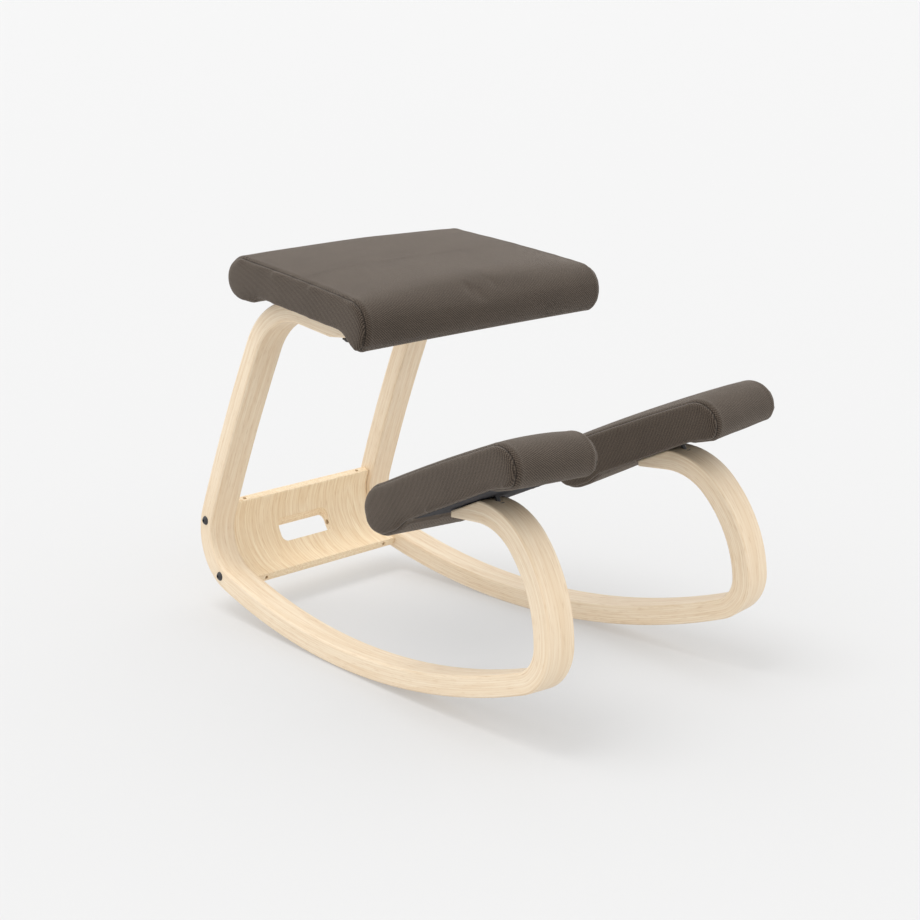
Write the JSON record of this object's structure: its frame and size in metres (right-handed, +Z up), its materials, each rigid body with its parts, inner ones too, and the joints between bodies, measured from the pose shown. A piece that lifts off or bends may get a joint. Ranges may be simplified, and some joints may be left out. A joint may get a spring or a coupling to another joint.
{
  "type": "kneeling chair",
  "caption": "Rocking kneeling chair with bent laminated wood side frames, a curved slotted crossbar, a padded seat and padded knee rests in taupe cloth.",
  "frame": {"origin": "on the floor, at the middle of the width and of the length", "axes": "+Z up; +Y towards the chair's back, the end with the seat; +X towards the sitter's left hand"},
  "size_m": [0.4808, 0.7165, 0.5227],
  "materials": {
    "laminated_beech": "satin",
    "dowel_wood": "matte",
    "board_ply": "matte",
    "taupe_cloth": "matte",
    "dark_cloth": "matte",
    "foam": "matte",
    "black_bolt": "satin",
    "zinc_steel": "satin"
  },
  "bodies": {
    "root": {"side_frame_right": "laminated_beech", "side_frame_left": "laminated_beech", "crossbar": "laminated_beech", "crossbar_bolts_right": "black_bolt", "barrel_nuts_right": "zinc_steel", "dowel_right": "dowel_wood", "crossbar_bolts_left": "black_bolt", "barrel_nuts_left": "zinc_steel", "dowel_left": "dowel_wood", "seat_board": "board_ply", "seat_foam": "foam", "seat_cover": "taupe_cloth", "seat_underside_cloth": "dark_cloth", "seat_tee_nuts": "zinc_steel", "seat_screws": "zinc_steel", "seat_washers": "zinc_steel", "knee_pad_board_right": "board_ply", "knee_pad_foam_right": "foam", "knee_pad_cover_right": "taupe_cloth", "knee_pad_underside_cloth_right": "dark_cloth", "knee_pad_tee_nuts_right": "zinc_steel", "knee_pad_screws_right": "zinc_steel", "knee_pad_washers_right": "zinc_steel", "knee_pad_board_left": "board_ply", "knee_pad_foam_left": "foam", "knee_pad_cover_left": "taupe_cloth", "knee_pad_underside_cloth_left": "dark_cloth", "knee_pad_tee_nuts_left": "zinc_steel", "knee_pad_screws_left": "zinc_steel", "knee_pad_washers_left": "zinc_steel"}
  },
  "joints": []
}
